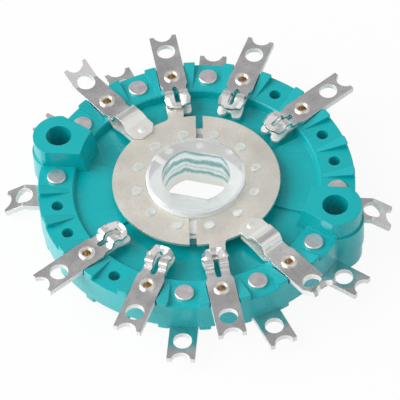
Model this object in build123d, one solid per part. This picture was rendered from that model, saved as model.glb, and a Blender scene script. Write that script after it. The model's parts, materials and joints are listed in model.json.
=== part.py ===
from build123d import *
import os
from math import atan2, cos, radians, sin, sqrt, tan

# One wafer of a rotary switch: a moulded stator ring with spring contacts riveted to both faces, and a clear
# rotor with metal blades on both faces that turns inside it. Millimetres, Z along the shaft.
# Everything is drawn about the wafer's middle plane and lifted at the end, so that the lower boss faces lie at Z 0.

# Layout of the positions round the ring
position_count = 24
boss_positions = (0, 12)
pole_first_positions = (10, 22)
throw_count = 3
throw_spacing = 2
bottom_shift = 3

# Rotor moulding, from the shaft hole outwards
shaft_hole_radius = 4.33
shaft_flat_depth = 0.75
shaft_hole_angle = 5.0
collar_wall = 2.12
collar_height = 0.86
collar_round = 0.45
peg_setout = 1.33
peg_count = 12
peg_radius = 0.55
peg_head_overhang = 0.11
peg_head_height = 0.1
peg_start_angle = 2.3
flange_width = 2.85
rotor_edge_chamfer = 0.25
rotor_clearance = 0.06

# Rotor blades
blade_thickness = 0.4
blade_lift = 0.4
blade_overhang = 1.44
blade_clearance = 0.05
blade_gap = 0.9
blade_gap_offset = 0.6
blade_gap_angle = 111.0
tab_reach = 2.66
tab_width = 2.05
tab_setback = 1.55
tab_root_round = 0.6

# Stator ring and web
floor_margin = 2.35
floor_width = 4.55
floor_thickness = 3.75
floor_wall_draft = 0.35
floor_edge_chamfer = 0.15
web_thickness = 1.55
web_step = 0.3
web_step_span = 50.0
web_step_start = 1.2
rib_height = 0.75
rib_setback = 0.45
rib_edge_chamfer = 0.15
rib_corner_round = 0.35
slot_clearance = 0.075

# Bosses with the mounting holes
boss_rise = 2.67
boss_radius = 3.35
boss_collar = 0.25
boss_hole_radius = 1.65
boss_hole_inset = 1.58
boss_reach = 0.6
boss_foot_reach = 1.55

# Contact leaves, common to all
leaf_thickness = 0.37
leaf_width = 3.55
leaf_bend_radius = 0.2
neck_length = 0.65
neck_setback = 0.3
contact_clearance = 0.05
lug_hole_reach = 2.2
lug_hole_radius = 1.19
lug_wall = 0.66
lug_notch_radius = 1.25
lug_notch_depth = 0.95

# Throw contacts
throw_neck_width = 2.95
throw_foot_setback = 0.89
throw_step_run = 0.22
throw_step_rise = 0.92
throw_leg_length = 0.49
throw_hood_length = 0.6
throw_nose_length = 2.1
throw_nose_swell = 0.25
throw_nose_taper = 0.1
throw_nose_round = 2.2
throw_valley_width = 0.8
throw_lobe_rise = 0.38
throw_lobe_inset = 0.5
throw_edge_drop = 0.38
throw_tip_length = 0.35
throw_tip_flare = 0.3
throw_shoe_length = 2.2
throw_shoe_swell = 0.15
throw_shoe_droop = 0.12
throw_shoe_dip = 0.3
throw_shoe_middle = 1.9
throw_ear_radius = 0.65
throw_slot_width = 0.75
throw_slot_length = 3.4
throw_slot_setin = 1.3

# Common contacts
common_width = 3.1
common_overlap = 0.99
common_plate_length = 2.35
common_plate_width = 3.5
common_plate_chamfer = 0.9
common_ramp_run = 0.75
common_hump_length = 1.4
common_hump_rise = 1.2
common_heel_run = 0.55
common_dip_setback = 0.8
common_dip_depth = 0.75
common_dip_run = 2.05
common_lower_overlap = 0.64
common_lower_droop = 0.3
common_lower_flare = 0.6
common_lower_chamfer = 0.6
common_tail_angle = 33.0
dimple_radius = 0.55
dimple_height = 0.12
dimple_reach = 1.0

# Rivets
rivet_inset = 2.25
rivet_hole_radius = 0.75
rivet_clearance = 0.03
rivet_head_radius = 1.225
rivet_head_height = 0.44
rivet_head_chamfer = 0.1
rivet_roll_radius = 1.03
rivet_roll_height = 0.28
rivet_bore_radius = 0.46
rivet_bore_depth = 1.15

# Angles and heights that follow
pitch_angle = 360 / position_count
turn_per_face = bottom_shift * pitch_angle
half_floor = floor_thickness / 2
half_web = web_thickness / 2
half_height = half_floor + boss_rise
half_rotor = half_floor + blade_lift
blade_top = blade_lift + blade_thickness
upper_contact = blade_top + contact_clearance
lower_contact = blade_lift - contact_clearance - leaf_thickness

# Radii that follow, from the axis outwards
collar_radius = shaft_hole_radius + collar_wall
peg_circle_radius = collar_radius + peg_setout
bore_radius = collar_radius + flange_width
rotor_radius = bore_radius - rotor_clearance
blade_radius = bore_radius + blade_overhang
tab_radius = blade_radius + tab_reach
floor_inner_radius = tab_radius + floor_margin
ring_radius = floor_inner_radius + floor_width
rivet_circle_radius = floor_inner_radius + rivet_inset
boss_hole_circle_radius = ring_radius - boss_hole_inset
lug_hole_circle_radius = ring_radius + lug_hole_reach
lug_tip_radius = lug_hole_circle_radius + lug_hole_radius + lug_wall + lug_notch_depth
neck_inner_radius = floor_inner_radius + neck_setback
neck_outer_radius = neck_inner_radius + neck_length
throw_foot_radius = floor_inner_radius - throw_foot_setback
throw_step_radius = throw_foot_radius - throw_step_run
throw_head_radius = throw_step_radius - throw_leg_length
beyond = 2 * lug_tip_radius
on_floor = (Align.CENTER, Align.CENTER, Align.MIN)


def ring_profile(points):
    """Solid of revolution about Z from a closed half-section given as (radius, z) points."""
    outline = Polyline([(radius, 0, z) for radius, z in points], close=True)
    return revolve(make_face(outline), Axis.Z)


def ring_sector(inner, outer, low, high, start, span):
    """Part of a flat ring between two radii, two heights and two angles."""
    outline = Polyline([(inner, 0, low), (outer, 0, low), (outer, 0, high), (inner, 0, high)], close=True)
    sector = revolve(make_face(outline), Axis.Z, revolution_arc=span)
    return Rot(0, 0, start) * sector


def mirrored(points):
    """Close a half-section that is the same above and below the middle plane."""
    return points + [(radius, -z) for radius, z in reversed(points)]


def tall(outline):
    """Prism above and below a plan outline, to trim a piece with."""
    return extrude(outline, half_height, both=True)


# Stator
def slot_cutter(position, low, high):
    """Straight-sided channel along one position's radius, from the axis past the rim."""
    channel = Box(beyond, leaf_width + 2 * slot_clearance, high - low)
    return Rot(0, 0, position * pitch_angle) * Pos(beyond / 2, 0, (low + high) / 2) * channel


def ring_blank():
    section = [
        (bore_radius, half_web),
        (floor_inner_radius - floor_wall_draft, half_web),
        (floor_inner_radius, half_floor - floor_edge_chamfer),
        (floor_inner_radius + floor_edge_chamfer, half_floor),
        (ring_radius, half_floor),
    ]
    return ring_profile(mirrored(section))


def rib():
    """Sloping rib of the top face between the slots of positions 0 and 1, rounded at its two rim corners."""
    top = half_floor + rib_height
    section = [
        (floor_inner_radius + rib_setback, half_floor),
        (ring_radius - rib_edge_chamfer, top),
        (ring_radius, top - rib_edge_chamfer),
        (ring_radius, half_floor - floor_edge_chamfer),
        (floor_inner_radius + rib_setback, half_floor - floor_edge_chamfer),
    ]
    outline = Polyline([(radius, 0, z) for radius, z in section], close=True)
    wedge = revolve(make_face(outline), Axis.Z, revolution_arc=pitch_angle)
    wedge -= [slot_cutter(position, -top, top) for position in (0, 1)]
    rim_corners = wedge.edges().filter_by(Axis.Z).sort_by(Axis.X)[-2:]
    return fillet(rim_corners, rib_corner_round)


def raised_web(low, high, turn):
    """Two opposite sectors of the web that carry no contact and are a little thicker than the rest."""
    outer = floor_inner_radius - floor_wall_draft / 2
    return [
        ring_sector(bore_radius, outer, low, high, web_step_start + turn + half_turn, web_step_span)
        for half_turn in (0, 180)
    ]


def boss(position):
    """Mounting boss: round outer end, sides in line with the neighbouring slots, sloping inner face."""
    section = [
        (floor_inner_radius - boss_foot_reach, half_web),
        (floor_inner_radius - boss_reach, half_height),
        (boss_hole_circle_radius, half_height),
    ]
    inner_span = 2 * pitch_angle
    outline = Polyline([(radius, 0, z) for radius, z in mirrored(section)], close=True)
    inner_end = Rot(0, 0, -inner_span / 2) * revolve(make_face(outline), Axis.Z, revolution_arc=inner_span)
    outer_end = Pos(boss_hole_circle_radius, 0, 0) * Cylinder(boss_radius, 2 * half_height)
    body = inner_end + outer_end
    body -= [slot_cutter(side, -half_height, half_height) for side in (-1, 1)]
    body += Pos(boss_hole_circle_radius, 0, 0) * Cylinder(boss_radius + boss_collar, floor_thickness)
    return Rot(0, 0, position * pitch_angle) * body


def stator():
    body = ring_blank()
    body += raised_web(0, half_web + web_step, 0)
    body += raised_web(-half_web - web_step, 0, turn_per_face)
    upper_rib = rib()
    for face_rib in (upper_rib, mirror(upper_rib, Plane.XY)):
        body += [Rot(0, 0, position * pitch_angle) * face_rib for position in range(position_count)]
    body += [boss(position) for position in boss_positions]
    slotted = [position for position in range(position_count) if position not in boss_positions]
    rivet_hole = Pos(rivet_circle_radius, 0, 0) * Cylinder(rivet_hole_radius, floor_thickness)
    body -= [Rot(0, 0, position * pitch_angle) * rivet_hole for position in slotted]
    boss_hole = Pos(boss_hole_circle_radius, 0, 0) * Cylinder(boss_hole_radius, 2 * half_height)
    body -= [Rot(0, 0, position * pitch_angle) * boss_hole for position in boss_positions]
    return body


# Rotor moulding
def shaft_hole():
    """Double-D through hole, with its flats turned a little from X."""
    flats = Rectangle(2 * shaft_hole_radius, 2 * (shaft_hole_radius - shaft_flat_depth))
    height = 2 * half_rotor + blade_thickness + collar_height
    outline = Rot(0, 0, shaft_hole_angle) * (Circle(shaft_hole_radius) & flats)
    return Pos(0, 0, -half_rotor) * extrude(outline, height)


def round_the_axis(shape, turn):
    """Copies of a shape at every peg's angle."""
    first = turn + peg_start_angle
    return [Rot(0, 0, first + index * 360 / peg_count) * shape for index in range(peg_count)]


def pegs(turn):
    """Ring of round pegs, each rising above the flange by the blade's thickness, with a flat head on top."""
    shank = Cylinder(peg_radius, blade_thickness, align=on_floor)
    head = Pos(0, 0, blade_thickness) * Cylinder(peg_radius + peg_head_overhang, peg_head_height, align=on_floor)
    return round_the_axis(Pos(peg_circle_radius, 0, half_rotor) * (shank + head), turn)


def rotor():
    top = half_rotor + blade_thickness + collar_height
    round_middle = collar_round * (1 - cos(radians(45)))
    section = [
        (0, -half_rotor),
        (rotor_radius - rotor_edge_chamfer, -half_rotor),
        (rotor_radius, -half_rotor + rotor_edge_chamfer),
        (rotor_radius, half_rotor - rotor_edge_chamfer),
        (rotor_radius - rotor_edge_chamfer, half_rotor),
        (collar_radius, half_rotor),
        (collar_radius, top - collar_round),
        (collar_radius - round_middle, top - round_middle),
        (collar_radius - collar_round, top),
        (0, top),
    ]
    body = ring_profile(section)
    body += pegs(0)
    body += [mirror(peg, Plane.XY) for peg in pegs(turn_per_face)]
    body -= shaft_hole()
    return body


# Rotor blades
def blade():
    """Half plate of the top face, with its tab beside the first gap."""
    edge = blade_gap / 2 - blade_gap_offset
    far_edge = blade_gap / 2 + blade_gap_offset
    tab_side = edge + tab_setback + tab_width
    tab = Pos(tab_radius / 2, tab_side - tab_width / 2) * Rectangle(tab_radius, tab_width)
    plate = Circle(blade_radius) + (tab & Circle(tab_radius))
    root = (sqrt(blade_radius**2 - tab_side**2), tab_side, 0)
    plate = fillet(plate.vertices().sort_by_distance(root)[0], tab_root_round)
    plate -= Circle(collar_radius + blade_clearance)
    below = 2 * tab_radius
    plate -= Pos(below / 2, edge - below / 2) * Rectangle(below, below)
    plate -= Pos(-below / 2, far_edge - below / 2) * Rectangle(below, below)
    plate -= round_the_axis(Pos(peg_circle_radius, 0) * Circle(peg_radius + blade_clearance), -blade_gap_angle)
    return Rot(0, 0, blade_gap_angle) * Pos(0, 0, half_rotor) * extrude(plate, blade_thickness)


# Contact leaves
def side_line(points, radii):
    """Line through (radius, z) points in the XZ plane, with its corners rounded."""
    spots = [(radius, 0, z) for radius, z in points]
    if not radii:
        return Line(spots[0], spots[1])
    return FilletPolyline(spots, radius=radii)


def bent_strip(path, width):
    """Sheet strip of constant thickness above a bent path of (radius, z) points, centred on the X axis."""
    headings = [atan2(b[1] - a[1], b[0] - a[0]) for a, b in zip(path, path[1:])]
    before_and_after = zip([headings[0]] + headings, headings + [headings[-1]])
    upper = []
    for point, (before, after) in zip(path, before_and_after):
        middle = (before + after) / 2
        reach = leaf_thickness / cos((after - before) / 2)
        upper.append((point[0] - reach * sin(middle), point[1] + reach * cos(middle)))
    turns_up = [after > before for before, after in zip(headings, headings[1:])]
    lower_line = side_line(path, [leaf_bend_radius + leaf_thickness * up for up in turns_up])
    upper_line = side_line(upper, [leaf_bend_radius + leaf_thickness * (not up) for up in turns_up])
    ends = [Line(lower_line @ 0, upper_line @ 0), Line(lower_line @ 1, upper_line @ 1)]
    profile = make_face([lower_line, upper_line] + ends)
    return extrude(profile, width / 2, both=True)


def strip_plan(neck_width, nose):
    """Plan outline of a leaf: full width outside, neck width inside the ring, then the nose's (radius, y) points."""
    side = [
        (beyond, leaf_width / 2),
        (neck_outer_radius, leaf_width / 2),
        (neck_inner_radius, neck_width / 2),
    ] + nose
    points = side + [(radius, -y) for radius, y in reversed(side)]
    return make_face(Polyline(points, close=True))


def lug_cutters(angle):
    """Solder hole and round tip notch of a lug that is bent up by this angle across its hole."""
    punch = Cylinder(lug_hole_radius, 4 * leaf_thickness)
    bite = Cylinder(lug_notch_radius, 4 * leaf_thickness)
    bite_reach = lug_hole_radius + lug_wall + lug_notch_radius
    bend = Pos(lug_hole_circle_radius, 0, leaf_thickness)
    return [bend * Rot(0, -angle / 2, 0) * punch, bend * Rot(0, -angle, 0) * Pos(bite_reach, 0, 0) * bite]


def finished_leaf(shape, angle):
    rivet_hole = Pos(rivet_circle_radius, 0, leaf_thickness) * Cylinder(rivet_hole_radius, 4 * leaf_thickness)
    return shape - [rivet_hole] - lug_cutters(angle)


def formed_head(stations):
    """Contact nose lofted through cross-sections of the sheet, from the head inwards.

    A station is a distance from the head and half a section: (y, z) points of the sheet's lower side, from
    the middle outwards.
    """
    sections = []
    for distance, half in stations:
        lower = [(-y, z) for y, z in reversed(half)] + half
        upper = [(y, z + leaf_thickness) for y, z in reversed(lower)]
        corners = [(throw_head_radius - distance, y, z) for y, z in lower + upper]
        sections.append(make_face(Polyline(corners, close=True)))
    return loft(sections, ruled=True)


def lobed(half_width, valley, rise):
    """Half-section with a flat valley, a lobe beside it and an edge that turns down again."""
    return [
        (throw_valley_width / 2, valley),
        (half_width - throw_lobe_inset, valley + rise),
        (half_width, valley + rise - throw_edge_drop),
    ]


def winged(half_width, level, droop):
    """Half-section with a flat middle and a wing that droops towards its edge."""
    return [(throw_shoe_middle / 2, level), (half_width, level - droop)]


def nose_plan():
    """Plan outline that gives the upper nose its curved tip."""
    tip_centre = throw_head_radius - throw_nose_length + throw_nose_round
    flank = Pos(tip_centre + beyond / 2, 0) * Rectangle(beyond, 2 * throw_nose_round)
    return flank + Pos(tip_centre, 0) * Circle(throw_nose_round)


def shoe_plan(half_width):
    """Plan outline that gives the lower nose its two rounded ears."""
    ear_centre = throw_head_radius - throw_shoe_length + throw_ear_radius
    ears = [
        Pos(ear_centre, side * (half_width - throw_ear_radius)) * Circle(throw_ear_radius) for side in (-1, 1)
    ]
    return Pos(ear_centre + beyond / 2, 0) * Rectangle(beyond, 2 * half_width) + ears


def throw_slot():
    centre = throw_head_radius - throw_slot_setin + throw_slot_length / 2
    return tall(Pos(centre, 0) * SlotOverall(throw_slot_length, throw_slot_width))


def throw_strip(path):
    outline = strip_plan(throw_neck_width, [(throw_head_radius, throw_neck_width / 2)])
    return bent_strip(path, leaf_width) & tall(outline)


def throw_outer_leaf():
    level = leaf_thickness + throw_step_rise
    strip = throw_strip([
        (throw_head_radius, level),
        (throw_step_radius, level),
        (throw_foot_radius, leaf_thickness),
        (lug_tip_radius, leaf_thickness),
    ])
    neck = throw_neck_width / 2
    swollen = neck + throw_nose_swell
    flat = [(throw_valley_width / 2, level), (neck - throw_lobe_inset, level), (neck, level)]
    head = formed_head([
        (0, flat),
        (throw_hood_length, lobed(swollen, (level + upper_contact) / 2, throw_lobe_rise)),
        (throw_nose_length - throw_tip_length, lobed(neck, upper_contact, throw_lobe_rise)),
        (throw_nose_length, lobed(neck - throw_nose_taper, upper_contact + throw_tip_flare, throw_lobe_rise / 3)),
    ])
    return finished_leaf(strip + (head & tall(nose_plan())) - throw_slot(), 0)


def throw_inner_leaf():
    strip = throw_strip([(throw_head_radius, 0), (lug_tip_radius, 0)])
    neck = throw_neck_width / 2
    swollen = neck + throw_shoe_swell
    head = formed_head([
        (0, winged(neck, 0, 0)),
        (throw_shoe_length / 3, winged(swollen, lower_contact, throw_shoe_droop)),
        (throw_shoe_length, winged(swollen, lower_contact - throw_shoe_dip, throw_shoe_droop)),
    ])
    return finished_leaf(strip + (head & tall(shoe_plan(swollen))) - throw_slot(), 0)


def bent_tail(level):
    """Outer end of a common leaf's path, bent up across the solder hole."""
    length = lug_tip_radius - lug_hole_circle_radius
    turn = radians(common_tail_angle)
    start = lug_hole_circle_radius - (level - leaf_thickness) * tan(turn / 2)
    return [(start, level), (start + length * cos(turn), level + length * sin(turn))]


def common_outer_leaf():
    hump = leaf_thickness + common_hump_rise
    plate_inner = blade_radius - common_overlap
    plate_outer = plate_inner + common_plate_length
    hump_inner = plate_outer + common_ramp_run
    hump_outer = hump_inner + common_hump_length
    path = [
        (plate_inner, upper_contact),
        (plate_outer, upper_contact),
        (hump_inner, hump),
        (hump_outer, hump),
        (hump_outer + common_heel_run, leaf_thickness),
    ] + bent_tail(leaf_thickness)
    nose = [
        (hump_inner, common_width / 2),
        (plate_outer, common_plate_width / 2),
        (plate_inner + common_plate_chamfer, common_plate_width / 2),
        (plate_inner, common_plate_width / 2 - common_plate_chamfer),
    ]
    strip = bent_strip(path, leaf_width) & tall(strip_plan(common_width, nose))
    dimple = Cone(dimple_radius, dimple_radius / 2, dimple_height, align=on_floor)
    strip += Pos(plate_inner + dimple_reach, 0, upper_contact + leaf_thickness) * dimple
    return finished_leaf(strip, common_tail_angle)


def common_inner_leaf():
    tip = blade_radius - common_lower_overlap
    dip = floor_inner_radius - common_dip_setback
    path = [
        (tip, lower_contact - common_lower_droop),
        (tip + common_lower_flare, lower_contact),
        (dip - common_dip_run, lower_contact),
        (dip, -common_dip_depth),
        (floor_inner_radius, 0),
    ] + bent_tail(0)
    nose = [
        (dip - common_dip_run, common_plate_width / 2),
        (tip + common_lower_chamfer, common_plate_width / 2),
        (tip, common_plate_width / 2 - common_lower_chamfer),
    ]
    strip = bent_strip(path, leaf_width) & tall(strip_plan(common_width, nose))
    return finished_leaf(strip, common_tail_angle)


# Rivets
def rivet():
    """Semi-tubular rivet: flat head on the far face, rolled end on the leaves."""
    shank = rivet_hole_radius - rivet_clearance
    seat = half_floor + 2 * leaf_thickness
    end = seat + rivet_roll_height
    roll_width = rivet_roll_radius - rivet_bore_radius
    section = [
        (0, -half_floor - rivet_head_height),
        (rivet_head_radius - rivet_head_chamfer, -half_floor - rivet_head_height),
        (rivet_head_radius, -half_floor - rivet_head_height + rivet_head_chamfer),
        (rivet_head_radius, -half_floor),
        (shank, -half_floor),
        (shank, seat),
        (rivet_roll_radius, seat),
        (rivet_roll_radius, seat + rivet_roll_height / 2),
        (rivet_roll_radius - roll_width / 4, end),
        (rivet_roll_radius - roll_width * 5 / 8, end),
        (rivet_bore_radius, seat),
        (rivet_bore_radius, end - rivet_bore_depth),
        (0, end - rivet_bore_depth),
    ]
    return Pos(rivet_circle_radius, 0, 0) * ring_profile(section)


# Placing and writing
def on_top(shape, position):
    return Rot(0, 0, position * pitch_angle) * shape


def on_bottom(shape, position):
    return Rot(0, 0, position * pitch_angle) * Rot(180, 0, 0) * shape


def write(name, shape):
    export_step(Pos(0, 0, half_height) * shape, f"parts/{name}.step")


def write_contact(name, place, position, outer_leaf, inner_leaf, fastener):
    seat = Pos(0, 0, half_floor)
    write(f"{name}_outer_leaf", place(seat * outer_leaf, position))
    write(f"{name}_inner_leaf", place(seat * inner_leaf, position))
    write(f"{name}_rivet", place(fastener, position))


def main():
    os.makedirs("parts", exist_ok=True)
    write("stator", stator())
    write("rotor", rotor())
    plate = blade()
    flipped = Pos(0, 0, -2 * half_rotor - blade_thickness) * plate
    for letter, turn in (("a", 0), ("b", 180)):
        write(f"top_blade_{letter}", Rot(0, 0, turn) * plate)
        write(f"bottom_blade_{letter}", Rot(0, 0, turn + turn_per_face) * flipped)
    fastener = rivet()
    commons = (common_outer_leaf(), common_inner_leaf(), fastener)
    throws = (throw_outer_leaf(), throw_inner_leaf(), fastener)
    for face, place, shift in (("top", on_top, 0), ("bottom", on_bottom, bottom_shift)):
        for pole, first in enumerate(pole_first_positions, start=1):
            write_contact(f"{face}_{pole}_common", place, first + shift, *commons)
            for throw in range(1, throw_count + 1):
                position = first + shift - throw * throw_spacing
                write_contact(f"{face}_{pole}_throw_{throw}", place, position, *throws)


main()
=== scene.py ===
import json
import math

import bpy
from mathutils import Matrix, Vector

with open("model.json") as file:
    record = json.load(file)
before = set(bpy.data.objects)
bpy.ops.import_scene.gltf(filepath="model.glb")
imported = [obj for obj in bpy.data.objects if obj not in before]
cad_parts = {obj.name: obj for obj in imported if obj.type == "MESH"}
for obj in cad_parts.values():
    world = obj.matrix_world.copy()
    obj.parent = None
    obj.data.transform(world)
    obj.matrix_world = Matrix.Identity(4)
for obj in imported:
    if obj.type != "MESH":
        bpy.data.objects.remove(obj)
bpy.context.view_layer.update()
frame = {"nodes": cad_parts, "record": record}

MM = 0.001
WHITE = (1.0, 1.0, 1.0)
nodes = frame["nodes"]

# Layout of the wafer, as in the solids (metres, and the angle between positions in radians)
PITCH = math.tau / 24
HOLE_RADIUS = 4.33 * MM
HOLE_LOW = 2.27 * MM
HOLE_HIGH = 8.08 * MM
COLLAR_RADIUS = 6.45 * MM
ROTOR_RADIUS = 9.24 * MM
RIVET_CIRCLE = 18.0 * MM
RING_RADIUS = 20.3 * MM
HEAD_HEIGHT = 0.44 * MM
MIDDLE_Z = 4.545 * MM

# Distances up or down from the middle of the wafer (metres)
SLOT_FLOOR = 1.875 * MM
PEG_HEAD_FROM = 2.7 * MM
COLLAR_CLEAR_UP_TO = 1.9 * MM
COLLAR_MILKY_FROM = 2.3 * MM

# Radii where the finish and the painted light of a leaf change, and the bow that its bump gives it
# between two radii (metres)
PLATE_RADIUS = 13.4 * MM
SILVERED_RADIUS = 15.5 * MM
DULL_AND_LIT_RADIUS = 16.0 * MM
LUG_RADIUS = 20.0 * MM
LEAF_BEND_START = 20.5 * MM
LEAF_BEND_END = 14.4 * MM
LEAF_BEND_DROP = 0.42 * MM

# Painted reflections in the shaft hole's wall: bands of teal and white light, from the lower end up
# (place, colour)
PAINTED_HOLE_REFLECTIONS = (
    (0.00, (0.76, 0.77, 0.70)),
    (0.22, (0.88, 0.90, 0.86)),
    (0.30, (0.86, 0.90, 0.87)),
    (0.33, (0.20, 0.46, 0.44)),
    (0.40, (0.24, 0.52, 0.50)),
    (0.43, (0.93, 0.97, 0.97)),
    (0.48, (0.90, 0.95, 0.94)),
    (0.51, (0.36, 0.62, 0.60)),
    (0.55, (0.90, 0.96, 0.96)),
    (0.62, (0.93, 0.97, 0.97)),
    (0.66, (0.20, 0.47, 0.45)),
    (0.76, (0.24, 0.52, 0.50)),
    (0.80, (0.92, 0.96, 0.97)),
    (0.90, (0.92, 0.96, 0.97)),
    (0.94, (0.22, 0.48, 0.47)),
)

# Noise values between which a cloudy pattern goes from none to full
CLOUDY = (0.3, 0.7)

# Sky: its level as a light, and how it dims for reflections between two heights of their direction
SKY_LEVEL = 0.52
HORIZON_HEIGHTS = (0.1, 0.5)
HORIZON_LEVEL = 0.4

# Dim panels that reflections see in the sky: a direction, and levels by the cosine of the angle from it
FRONT_PANEL_DIRECTION = (0.25, -0.6, 0.76)
FRONT_PANEL = (
    (0.86, 1.0),
    (0.93, 0.7),
    (0.97, 0.42),
    (1.0, 0.36),
)
BACK_PANEL_DIRECTION = (-0.155, 0.57, 0.81)
BACK_PANEL = (
    (0.20, 1.0),
    (0.50, 0.74),
    (0.80, 0.74),
    (0.92, 0.70),
    (0.955, 0.62),
    (0.98, 0.47),
    (0.9945, 0.38),
    (1.0, 0.31),
)

# Floor: half its width (metres), and the share of white that rays showing the background see in it
FLOOR_HALF_WIDTH = 1.2
FLOOR_WHITE = 0.92

# Lamp: its place and side (metres) and its power (watts)
LAMP_PLACE = (-0.5, -0.25, 0.45)
LAMP_SIDE = 0.65
LAMP_POWER = 4.7

# The photograph's view: direction and distance from the wafer (metres), and framing
VIEW_AZIMUTH = math.radians(22.449)
VIEW_ELEVATION = math.radians(49.941)
VIEW_ROLL = math.radians(-3.458)
VIEW_DISTANCE = 439.74 * MM
VIEW_LENS = 309.6
VIEW_SENSOR = 36.0
VIEW_SHIFT = (0.0089, -0.0418)
VIEW_CLIP = (0.01, 10.0)


# Shader helpers
class Wiring:
    """Short calls to place and wire the nodes of one node tree."""

    def __init__(self, tree):
        self.tree = tree

    def node(self, kind, **settings):
        node = self.tree.nodes.new(kind)
        for key, value in settings.items():
            setattr(node, key, value)
        return node

    def link(self, source, target):
        self.tree.links.new(source, target)

    def feed(self, socket, value):
        """Give a socket a number, a direction, a colour or the result of another node."""
        if isinstance(value, (int, float, Vector)):
            socket.default_value = value
        elif isinstance(value, tuple):
            socket.default_value = (*value, 1.0)
        else:
            self.link(value, socket)

    def fill(self, node, **values):
        """Feed a node's inputs by name, with _ for each space."""
        for name, value in values.items():
            self.feed(node.inputs[name.replace("_", " ")], value)
        return node

    def fill_in_order(self, node, *values):
        """Feed a node's first inputs, one value each."""
        for socket, value in zip(node.inputs, values):
            self.feed(socket, value)
        return node

    def math(self, operation, *values):
        node = self.node("ShaderNodeMath", operation=operation)
        return self.fill_in_order(node, *values).outputs[0]

    def plus(self, first, second):
        return self.math("ADD", first, second)

    def minus(self, first, second):
        return self.math("SUBTRACT", first, second)

    def times(self, first, second):
        return self.math("MULTIPLY", first, second)

    def length(self, x, y):
        return self.math("SQRT", self.plus(self.times(x, x), self.times(y, y)))

    def split(self, vector):
        """The x, y and z of a vector."""
        return self.fill(self.node("ShaderNodeSeparateXYZ"), Vector=vector).outputs

    def dot(self, first, second):
        node = self.node("ShaderNodeVectorMath", operation="DOT_PRODUCT")
        return self.fill_in_order(node, first, second).outputs["Value"]

    def spread(self, value, limits, to=(0.0, 1.0)):
        """Map a value between two limits to another range, clamped."""
        node = self.node("ShaderNodeMapRange")
        self.fill(node, Value=value, From_Min=limits[0], From_Max=limits[1], To_Min=to[0], To_Max=to[1])
        return node.outputs["Result"]

    def ramp(self, value, stops, interpolation):
        """Colour picked from (place, colour) stops by a value from 0 to 1."""
        node = self.node("ShaderNodeValToRGB")
        node.color_ramp.interpolation = interpolation
        elements = node.color_ramp.elements
        elements[0].position = stops[0][0]
        elements[-1].position = stops[-1][0]
        for place, _ in stops[1:-1]:
            elements.new(place)
        for element, (_, colour) in zip(elements, stops):
            element.color = (*colour, 1.0)
        return self.fill_in_order(node, value).outputs["Color"]

    def rays(self, *kinds):
        """1 for rays of any of these kinds, 0 for others."""
        path = self.node("ShaderNodeLightPath")
        found, *others = [path.outputs[kind] for kind in kinds]
        for other in others:
            found = self.math("MAXIMUM", found, other)
        return found

    def mix_shaders(self, factor, first, second):
        node = self.node("ShaderNodeMixShader")
        return self.fill_in_order(node, factor, first, second).outputs[0]


class Finish(Wiring):
    """A material with a Principled surface, and short calls for patterns on it."""

    def __init__(self, name):
        self.material = bpy.data.materials.new(name)
        self.material.use_nodes = True
        super().__init__(self.material.node_tree)
        self.surface = self.tree.nodes["Principled BSDF"]
        self.output = self.tree.nodes["Material Output"]

    def set(self, **values):
        """Feed the surface's inputs by name."""
        self.fill(self.surface, **values)

    def replace_surface(self, factor, shader):
        """Show another shader in place of the surface, by a factor."""
        mixed = self.mix_shaders(factor, self.surface.outputs[0], shader)
        self.link(mixed, self.output.inputs["Surface"])

    def position(self):
        return self.node("ShaderNodeTexCoord").outputs["Object"]

    def normal(self):
        return self.node("ShaderNodeNewGeometry").outputs["Normal"]

    def angle(self, x, y):
        """Angle about the wafer's axis."""
        return self.math("ARCTAN2", y, x)

    def off_middle(self, z):
        """Distance up or down from the middle of the wafer."""
        return self.math("ABSOLUTE", self.minus(z, MIDDLE_Z))

    def steepness(self, level, upright):
        """0 where the normal's height is above one limit, 1 where it is under the other."""
        _, _, height = self.split(self.normal())
        return self.spread(self.math("ABSOLUTE", height), (level, upright))

    def noise(self, scale, detail, roughness, distortion=0.0, place=None):
        node = self.node("ShaderNodeTexNoise")
        self.fill(node, Scale=scale, Detail=detail, Roughness=roughness, Distortion=distortion)
        self.link(place or self.position(), node.inputs["Vector"])
        return node.outputs["Fac"]

    def blend(self, factor, first, second):
        """Colour between two colours, by a factor."""
        node = self.node("ShaderNodeMix", data_type="RGBA")
        self.link(factor, node.inputs["Factor"])
        colour_inputs = [socket for socket in node.inputs if socket.type == "RGBA"]
        for socket, colour in zip(colour_inputs, (first, second)):
            self.feed(socket, colour)
        return next(socket for socket in node.outputs if socket.type == "RGBA")

    def bump(self, height, strength, distance, normal):
        node = self.node("ShaderNodeBump")
        self.fill(node, Height=height, Strength=strength, Distance=distance, Normal=normal)
        return node.outputs["Normal"]

    def soft_edges(self, radius):
        """Normal that rounds the edges of the solid by a radius."""
        node = self.node("ShaderNodeBevel", samples=4)
        return self.fill(node, Radius=radius).outputs["Normal"]

    def edge_mask(self, rounded, sharp, flat):
        """1 along the edges of the solid, 0 on its flats, from a rounded normal."""
        return self.spread(self.dot(rounded, self.normal()), (flat, sharp))


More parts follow.
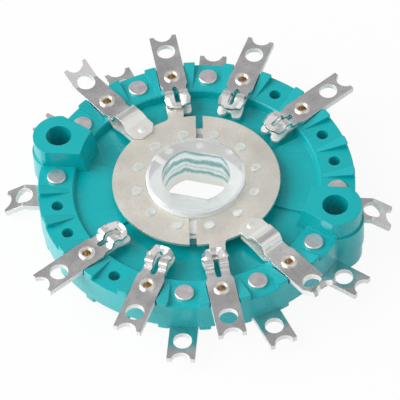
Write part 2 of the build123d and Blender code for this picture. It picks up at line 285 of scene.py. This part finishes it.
# Materials of the solids
def ring_plastic():
    """Moulded teal plastic: satin, faintly mottled and paler along its edges, with painted light that
    makes its outer rim wall paler towards the left.
    """
    teal = (0.0, 0.435, 0.465)
    light_teal = (0.0, 0.475, 0.505)
    painted_light_teal = (0.09, 0.54, 0.56)
    worn_teal = (0.04, 0.60, 0.62)
    worn_share = 0.35
    left_x = -0.8
    left_y = -0.6

    s = Finish("ring_plastic")
    rounded = s.soft_edges(0.12 * MM)
    x, y, _ = s.split(s.position())

    mottle = s.spread(s.noise(scale=260.0, detail=4.0, roughness=0.6), CLOUDY)
    body = s.blend(mottle, teal, light_teal)
    wall = s.steepness(level=0.5, upright=0.2)
    rim = s.times(wall, s.spread(s.length(x, y), (RING_RADIUS - 0.1 * MM, RING_RADIUS)))
    # Painted light: the outer rim wall is painted paler towards the left, as if lit from that side
    leftward = s.plus(s.times(x, left_x), s.times(y, left_y))
    painted_light_rim = s.times(rim, s.spread(leftward, (8.0 * MM, 19.0 * MM)))
    body = s.blend(painted_light_rim, body, painted_light_teal)
    edges = s.edge_mask(rounded, sharp=0.78, flat=0.99)
    body = s.blend(s.times(edges, worn_share), body, worn_teal)

    grain = s.noise(scale=5200.0, detail=3.0, roughness=0.6)
    flow = s.noise(scale=420.0, detail=3.0, roughness=0.55, distortion=0.6)
    fine = s.bump(grain, strength=0.1, distance=0.015 * MM, normal=rounded)
    s.set(
        Base_Color=body,
        Roughness=s.spread(flow, (0.25, 0.75), to=(0.22, 0.34)),
        Normal=s.bump(flow, strength=0.2, distance=0.05 * MM, normal=fine),
        IOR=1.5,
    )
    return s.material


def clear_plastic():
    """Clear moulded plastic, slightly milky, with flow marks and whitened pegs, with painted reflections:
    bands of teal and white light in the shaft hole's wall, and a teal tint on the wall by its edge.
    """
    plastic = (0.97, 0.99, 0.985)
    peg_white = (0.90, 0.93, 0.89)
    painted_teal_reflection = (0.04, 0.40, 0.40)
    shadow_tint = (0.9, 0.95, 0.95)
    peg_milk = 0.3
    wall_metallic = 0.7
    wave_height = 1.8 * MM
    flow_limits = (0.2, 0.8)

    s = Finish("clear_plastic")
    rounded = s.soft_edges(0.1 * MM)
    x, y, z = s.split(s.position())
    radius = s.length(x, y)
    off_middle = s.off_middle(z)
    steep = s.steepness(level=0.6, upright=0.3)
    flow = s.noise(scale=330.0, detail=2.0, roughness=0.5, distortion=0.8)

    outside = s.math("GREATER_THAN", radius, COLLAR_RADIUS + 0.2 * MM)
    peg_head = s.times(s.math("GREATER_THAN", off_middle, PEG_HEAD_FROM), outside)
    collar_height = s.spread(off_middle, (COLLAR_CLEAR_UP_TO, COLLAR_MILKY_FROM))
    collar = s.times(collar_height, s.minus(1.0, outside))
    collar_milk = s.times(collar, s.spread(steep, (0.0, 1.0), to=(0.22, 0.5)))
    whitened = s.plus(s.times(peg_head, peg_milk), collar_milk)
    clearness = s.minus(s.spread(flow, flow_limits, to=(0.72, 0.58)), whitened)

    # Painted reflection: teal and white bands of seen light on the shaft hole's wall
    near_hole = s.spread(radius, (HOLE_RADIUS + 0.1 * MM, HOLE_RADIUS + 0.02 * MM))
    hole_wall = s.times(steep, near_hole)
    wave = s.times(s.minus(s.noise(scale=330.0, detail=3.0, roughness=0.7), 0.5), wave_height)
    height = s.spread(s.plus(z, wave), (HOLE_LOW, HOLE_HIGH))
    painted_bands = s.ramp(height, PAINTED_HOLE_REFLECTIONS, "B_SPLINE")
    # Painted reflection: the steep wall near the rotor's edge is tinted teal, as the ring seen through
    # the plastic
    near_edge = s.spread(radius, (ROTOR_RADIUS - 0.5 * MM, ROTOR_RADIUS - 0.3 * MM))
    painted_reflection_wall = s.times(steep, near_edge)
    body = s.blend(peg_head, plastic, peg_white)
    body = s.blend(painted_reflection_wall, body, painted_teal_reflection)

    s.set(
        Base_Color=s.blend(hole_wall, body, painted_bands),
        Metallic=s.times(hole_wall, wall_metallic),
        Transmission_Weight=clearness,
        Roughness=s.spread(flow, flow_limits, to=(0.03, 0.12)),
        Normal=s.bump(flow, strength=0.25, distance=0.12 * MM, normal=rounded),
        IOR=1.49,
    )
    see_through = s.fill(s.node("ShaderNodeBsdfTransparent"), Color=shadow_tint)
    s.replace_surface(s.rays("Is Shadow Ray"), see_through.outputs[0])
    return s.material


def blade_metal():
    """Matt silver plate on the rotor blades: fine grain with soft cloudy stains."""
    stained = (0.80, 0.77, 0.70)
    clean = (0.90, 0.87, 0.80)
    grain_dark = (0.75, 0.72, 0.655)

    s = Finish("blade_metal")
    rounded = s.soft_edges(0.05 * MM)
    cloud = s.spread(s.noise(scale=230.0, detail=5.0, roughness=0.62), CLOUDY)
    grain = s.noise(scale=3400.0, detail=3.0, roughness=0.7)
    tone = s.blend(cloud, stained, clean)
    s.set(
        Base_Color=s.blend(s.spread(grain, (0.35, 0.75)), tone, grain_dark),
        Metallic=1.0,
        Roughness=s.spread(cloud, (0.0, 1.0), to=(0.46, 0.58)),
        Normal=s.bump(grain, strength=0.3, distance=0.02 * MM, normal=rounded),
    )
    return s.material


def leaf_metal(name="leaf_metal", dull_and_lit_share=0.0, dull_and_lit_radius=DULL_AND_LIT_RADIUS):
    """Rolled silver-plated sheet: streaks, clouds, specks and dents, and pale sheared walls on the lugs.

    Inside a radius the plating may be duller by a share, and is painted cream there: painted light that
    brightens the shaded inner leaves and contact plates.
    """
    tarnished = (0.72, 0.70, 0.71)
    bright = (0.93, 0.915, 0.915)
    streak_grey = (0.76, 0.745, 0.75)
    speck_grey = (0.52, 0.50, 0.51)
    silver = (0.95, 0.945, 0.94)
    sheared_grey = (0.93, 0.925, 0.92)
    painted_light_cream = (0.97, 0.96, 0.88)
    sheared_roughness = 0.35
    sheared_matt = 0.75
    dull_roughness = 0.25
    dull_matt = 0.9
    streaks_across = 5.0
    streaks_along = 0.4
    streak_radius = 20.0 * MM

    s = Finish(name)
    rounded = s.soft_edges(0.09 * MM)
    x, y, z = s.split(s.position())
    radius = s.length(x, y)

    across = s.times(s.times(s.angle(x, y), streak_radius), streaks_across)
    along = s.times(radius, streaks_along)
    streak_place = s.fill_in_order(s.node("ShaderNodeCombineXYZ"), across, along, z).outputs[0]
    streaks = s.noise(scale=700.0, detail=4.0, roughness=0.65, place=streak_place)
    cloud = s.spread(s.noise(scale=520.0, detail=6.0, roughness=0.68), (0.32, 0.68))
    specks = s.spread(s.noise(scale=2600.0, detail=2.0, roughness=0.5), (0.62, 0.74), to=(0.0, 0.4))
    silvered = s.spread(radius, (SILVERED_RADIUS + 0.4 * MM, SILVERED_RADIUS - 0.4 * MM))
    plate = s.blend(cloud, tarnished, bright)
    plate = s.blend(s.spread(streaks, (0.4, 0.85)), plate, streak_grey)
    plate = s.blend(specks, plate, speck_grey)
    plate = s.blend(silvered, plate, silver)
    scratched = s.times(streaks, s.minus(1.0, silvered))
    roughness = s.spread(scratched, (0.0, 0.7), to=(0.21, 0.18))

    lug = s.spread(radius, (LUG_RADIUS, LUG_RADIUS + 0.3 * MM))
    sheared = s.times(s.steepness(level=0.5, upright=0.2), lug)
    plate = s.blend(sheared, plate, sheared_grey)
    roughness = s.plus(roughness, s.times(sheared, sheared_roughness))
    metallic = s.minus(1.0, s.times(sheared, sheared_matt))
    if dull_and_lit_share > 0.0:
        dull_limits = (dull_and_lit_radius + 0.2 * MM, dull_and_lit_radius - 0.2 * MM)
        dull_and_lit = s.spread(radius, dull_limits, to=(0.0, dull_and_lit_share))
        # Painted light: a cream colour that brightens the leaf inside the radius, together with a duller,
        # less metallic finish
        plate = s.blend(dull_and_lit, plate, painted_light_cream)
        roughness = s.plus(roughness, s.times(dull_and_lit, dull_roughness))
        metallic = s.minus(metallic, s.times(dull_and_lit, dull_matt))

    fine = s.bump(scratched, strength=0.12, distance=0.006 * MM, normal=rounded)
    dented = s.noise(scale=1300.0, detail=2.0, roughness=0.5)
    dents = s.bump(dented, strength=0.6, distance=0.03 * MM, normal=fine)
    waved = s.noise(scale=230.0, detail=1.0, roughness=0.4)
    waves = s.bump(waved, strength=1.0, distance=0.3 * MM, normal=dents)
    inward = s.spread(radius, (LEAF_BEND_START, LEAF_BEND_END))
    level = s.minus(1.0, s.times(inward, inward))
    s.set(
        Base_Color=plate,
        Metallic=metallic,
        Roughness=roughness,
        Normal=s.bump(level, strength=1.0, distance=LEAF_BEND_DROP, normal=waves),
    )
    return s.material


def rivet_metal():
    """Silver-plated rivets: satin lilac-grey heads, cream rolled ends and bare brass inside the bores."""
    cream = ((0.80, 0.77, 0.72), (0.92, 0.90, 0.86))
    lilac_grey = ((0.68, 0.635, 0.655), (0.84, 0.79, 0.81))
    bare_brass = ((0.50, 0.37, 0.24), (0.84, 0.69, 0.47))
    bore_limits = (0.60 * MM, 0.44 * MM)
    head_tolerance = 0.05 * MM

    s = Finish("rivet_metal")
    rounded = s.soft_edges(0.06 * MM)
    x, y, z = s.split(s.position())

    nearest = s.times(s.math("ROUND", s.math("DIVIDE", s.angle(x, y), PITCH)), PITCH)
    off_x = s.minus(x, s.times(s.math("COSINE", nearest), RIVET_CIRCLE))
    off_y = s.minus(y, s.times(s.math("SINE", nearest), RIVET_CIRCLE))
    head = s.math("COMPARE", s.off_middle(z), SLOT_FLOOR + HEAD_HEIGHT, head_tolerance)
    bore = s.times(s.spread(s.length(off_x, off_y), bore_limits), s.minus(1.0, head))
    cloud = s.spread(s.noise(scale=900.0, detail=5.0, roughness=0.65), CLOUDY)
    rolled = s.blend(cloud, *cream)
    satin = s.blend(cloud, *lilac_grey)
    brass = s.blend(cloud, *bare_brass)
    plate = s.blend(head, rolled, satin)

    grain = s.noise(scale=2600.0, detail=3.0, roughness=0.6)
    s.set(
        Base_Color=s.blend(bore, plate, brass),
        Metallic=1.0,
        Roughness=s.spread(cloud, (0.0, 1.0), to=(0.3, 0.45)),
        Normal=s.bump(grain, strength=0.3, distance=0.02 * MM, normal=rounded),
    )
    return s.material


finishes = {
    "ring_plastic": ring_plastic(),
    "clear_plastic": clear_plastic(),
    "blade_metal": blade_metal(),
    "leaf_metal": leaf_metal(),
    "rivet_metal": rivet_metal(),
}
inner_leaf_metal = leaf_metal("inner_leaf_metal", dull_and_lit_share=0.5)
plate_leaf_metal = leaf_metal("plate_leaf_metal", dull_and_lit_share=0.45, dull_and_lit_radius=PLATE_RADIUS)
for subpart in frame["record"]["subparts"]:
    finish = finishes[subpart["material_slot"]]
    if subpart["node"].endswith("inner_leaf"):
        finish = inner_leaf_metal
    if subpart["node"].endswith("common_outer_leaf"):
        finish = plate_leaf_metal
    for material_slot in nodes[subpart["node"]].material_slots:
        material_slot.link = "OBJECT"
        material_slot.material = finish


# Floor and sky: a pale floor that keeps the shadow, and a sky that is white to the camera
def floor():
    """Pale floor, near white to the rays that show the background: straight, reflected or refracted."""
    pale = (0.88, 0.88, 0.88)
    paler = (0.9, 0.9, 0.9)
    half = FLOOR_HALF_WIDTH
    corners = [(-half, -half, 0), (half, -half, 0), (half, half, 0), (-half, half, 0)]
    mesh = bpy.data.meshes.new("floor")
    mesh.from_pydata(corners, [], [(0, 1, 2, 3)])
    plane = bpy.data.objects.new("floor", mesh)
    bpy.context.scene.collection.objects.link(plane)

    s = Finish("floor")
    tint = s.spread(s.noise(scale=4.0, detail=2.0, roughness=0.5), (0.2, 0.8))
    s.set(Base_Color=s.blend(tint, pale, paler), Roughness=0.9, Specular_IOR_Level=0.0)
    background = s.rays("Is Camera Ray", "Is Glossy Ray", "Is Transmission Ray")
    glow = s.node("ShaderNodeEmission")
    s.replace_surface(s.times(background, FLOOR_WHITE), glow.outputs[0])
    mesh.materials.append(s.material)


def sky_panel(s, view, direction, levels):
    """Level of the seen sky around a direction, from (cosine of the angle from there, level)."""
    cosine = s.dot(view, Vector(direction).normalized())
    stops = [(place, (level, level, level)) for place, level in levels]
    return s.ramp(cosine, stops, "LINEAR")


def surroundings():
    """Plain light for surfaces, white with dim panels for reflections, and plain white for the camera."""
    world = bpy.data.worlds.new("studio")
    world.use_nodes = True
    bpy.context.scene.world = world
    s = Wiring(world.node_tree)
    plain = s.fill(s.tree.nodes["Background"], Color=WHITE, Strength=SKY_LEVEL)

    view = s.node("ShaderNodeTexCoord").outputs["Generated"]
    _, _, height = s.split(view)
    above_horizon = s.spread(height, HORIZON_HEIGHTS, to=(HORIZON_LEVEL, 1.0))
    back = sky_panel(s, view, BACK_PANEL_DIRECTION, BACK_PANEL)
    front = sky_panel(s, view, FRONT_PANEL_DIRECTION, FRONT_PANEL)
    panelled = s.fill(s.node("ShaderNodeBackground"), Color=back, Strength=s.times(above_horizon, front))
    seen = s.rays("Is Glossy Ray", "Is Transmission Ray")
    sky = s.mix_shaders(seen, plain.outputs[0], panelled.outputs[0])

    white = s.fill(s.node("ShaderNodeBackground"), Color=WHITE)
    sky = s.mix_shaders(s.rays("Is Camera Ray"), sky, white.outputs[0])
    s.link(sky, s.tree.nodes["World Output"].inputs["Surface"])


def lamp():
    """Square soft lamp that faces the wafer."""
    light = bpy.data.lights.new("key", "AREA")
    light.shape = "SQUARE"
    light.size = LAMP_SIDE
    light.energy = LAMP_POWER
    thing = bpy.data.objects.new("key", light)
    thing.location = LAMP_PLACE
    direction = Vector((0, 0, MIDDLE_Z)) - Vector(LAMP_PLACE)
    thing.rotation_euler = direction.to_track_quat("-Z", "Y").to_euler()
    bpy.context.scene.collection.objects.link(thing)


def camera():
    """The photograph's view: about 50 degrees down and 22 degrees round, from 0.44 m."""
    target = Vector((0, 0, MIDDLE_Z + SLOT_FLOOR))
    back = Vector((
        math.sin(VIEW_AZIMUTH) * math.cos(VIEW_ELEVATION),
        -math.cos(VIEW_AZIMUTH) * math.cos(VIEW_ELEVATION),
        math.sin(VIEW_ELEVATION),
    ))
    level_right = Vector((0, 0, 1)).cross(back).normalized()
    level_up = back.cross(level_right)
    right = math.cos(VIEW_ROLL) * level_right + math.sin(VIEW_ROLL) * level_up
    up = math.cos(VIEW_ROLL) * level_up - math.sin(VIEW_ROLL) * level_right
    data = bpy.data.cameras.new("camera")
    data.sensor_width = VIEW_SENSOR
    data.lens = VIEW_LENS
    data.shift_x, data.shift_y = VIEW_SHIFT
    data.clip_start, data.clip_end = VIEW_CLIP
    thing = bpy.data.objects.new("camera", data)
    thing.matrix_world = Matrix((right, up, back)).transposed().to_4x4()
    thing.location = target + back * VIEW_DISTANCE
    bpy.context.scene.collection.objects.link(thing)
    bpy.context.scene.camera = thing


floor()
surroundings()
lamp()
camera()
bpy.context.scene.view_settings.view_transform = "Standard"
